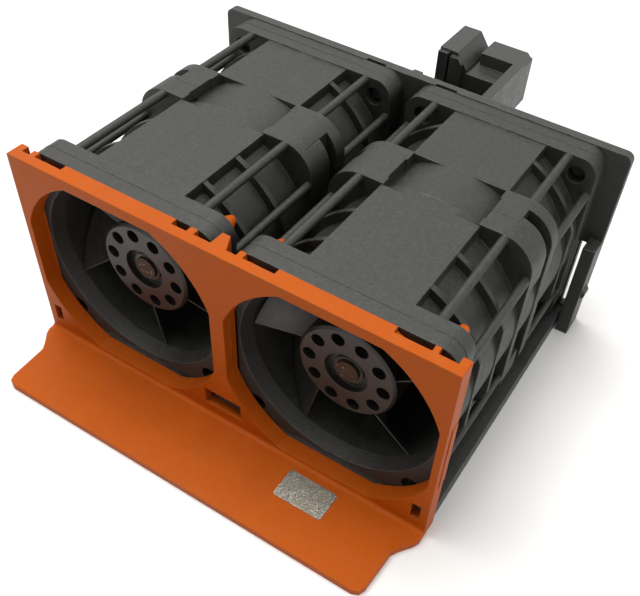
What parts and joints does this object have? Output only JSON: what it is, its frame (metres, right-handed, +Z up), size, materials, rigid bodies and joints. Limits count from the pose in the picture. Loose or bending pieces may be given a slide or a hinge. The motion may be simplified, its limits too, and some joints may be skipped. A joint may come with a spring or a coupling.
{
  "type": "server fan module",
  "caption": "Hot-swap server fan module: two counter-rotating ducted fans side by side in a black carrier with an orange pull bezel and a rear blind-mate connector.",
  "frame": {"origin": "mid-width, in the plane of the bezel face, on the underside of the lip and rails", "axes": "+X to the right seen from the inlet side, +Y with the air flow towards the connector, +Z up, away from the rails"},
  "size_m": [0.0936, 0.1065, 0.0437],
  "materials": {
    "bezel_orange": "fine satin texture",
    "carrier_black": "fine texture",
    "connector_black": "fine texture",
    "contact_metal": "bright",
    "label_silver": "metallic film",
    "fan_black": "glass-filled, fine texture",
    "rotor_brown_black": "satin",
    "rotor_cup_steel": "drawn",
    "magnet_ferrite": "dull",
    "shaft_steel": "ground",
    "bearing_steel": "ground",
    "tube_brass": "turned",
    "lamination_steel": "stacked sheet edges",
    "winding_copper": "enamelled wire",
    "board_green": "solder resist"
  },
  "bodies": {
    "module": {"front_bezel": "bezel_orange", "rear_carrier": "carrier_black", "connector_housing": "connector_black", "connector_contacts": "contact_metal", "lip_label": "label_silver", "frame_left_front": "fan_black", "bearings_left_front": "bearing_steel", "bearing_tube_left_front": "tube_brass", "stator_core_left_front": "lamination_steel", "windings_left_front": "winding_copper", "motor_board_left_front": "board_green", "frame_left_rear": "fan_black", "bearings_left_rear": "bearing_steel", "bearing_tube_left_rear": "tube_brass", "stator_core_left_rear": "lamination_steel", "windings_left_rear": "winding_copper", "motor_board_left_rear": "board_green", "frame_right_front": "fan_black", "bearings_right_front": "bearing_steel", "bearing_tube_right_front": "tube_brass", "stator_core_right_front": "lamination_steel", "windings_right_front": "winding_copper", "motor_board_right_front": "board_green", "frame_right_rear": "fan_black", "bearings_right_rear": "bearing_steel", "bearing_tube_right_rear": "tube_brass", "stator_core_right_rear": "lamination_steel", "windings_right_rear": "winding_copper", "motor_board_right_rear": "board_green"},
    "rotor_left_front_turning": {"rotor_left_front": "rotor_brown_black", "yoke_left_front": "rotor_cup_steel", "magnet_left_front": "magnet_ferrite", "shaft_left_front": "shaft_steel"},
    "rotor_left_rear_turning": {"rotor_left_rear": "rotor_brown_black", "yoke_left_rear": "rotor_cup_steel", "magnet_left_rear": "magnet_ferrite", "shaft_left_rear": "shaft_steel"},
    "rotor_right_front_turning": {"rotor_right_front": "rotor_brown_black", "yoke_right_front": "rotor_cup_steel", "magnet_right_front": "magnet_ferrite", "shaft_right_front": "shaft_steel"},
    "rotor_right_rear_turning": {"rotor_right_rear": "rotor_brown_black", "yoke_right_rear": "rotor_cup_steel", "magnet_right_rear": "magnet_ferrite", "shaft_right_rear": "shaft_steel"}
  },
  "joints": [
    {"name": "spin_left_front", "type": "hinge", "parent": "module", "child": "rotor_left_front_turning", "pos_m": [-0.02175, 0.0064, 0.0235], "axis": [0, -1, 0], "continuous": true},
    {"name": "spin_left_rear", "type": "hinge", "parent": "module", "child": "rotor_left_rear_turning", "pos_m": [-0.02175, 0.0613, 0.0235], "axis": [0, 1, 0], "continuous": true},
    {"name": "spin_right_front", "type": "hinge", "parent": "module", "child": "rotor_right_front_turning", "pos_m": [0.02175, 0.0064, 0.0235], "axis": [0, -1, 0], "continuous": true},
    {"name": "spin_right_rear", "type": "hinge", "parent": "module", "child": "rotor_right_rear_turning", "pos_m": [0.02175, 0.0613, 0.0235], "axis": [0, 1, 0], "continuous": true}
  ]
}
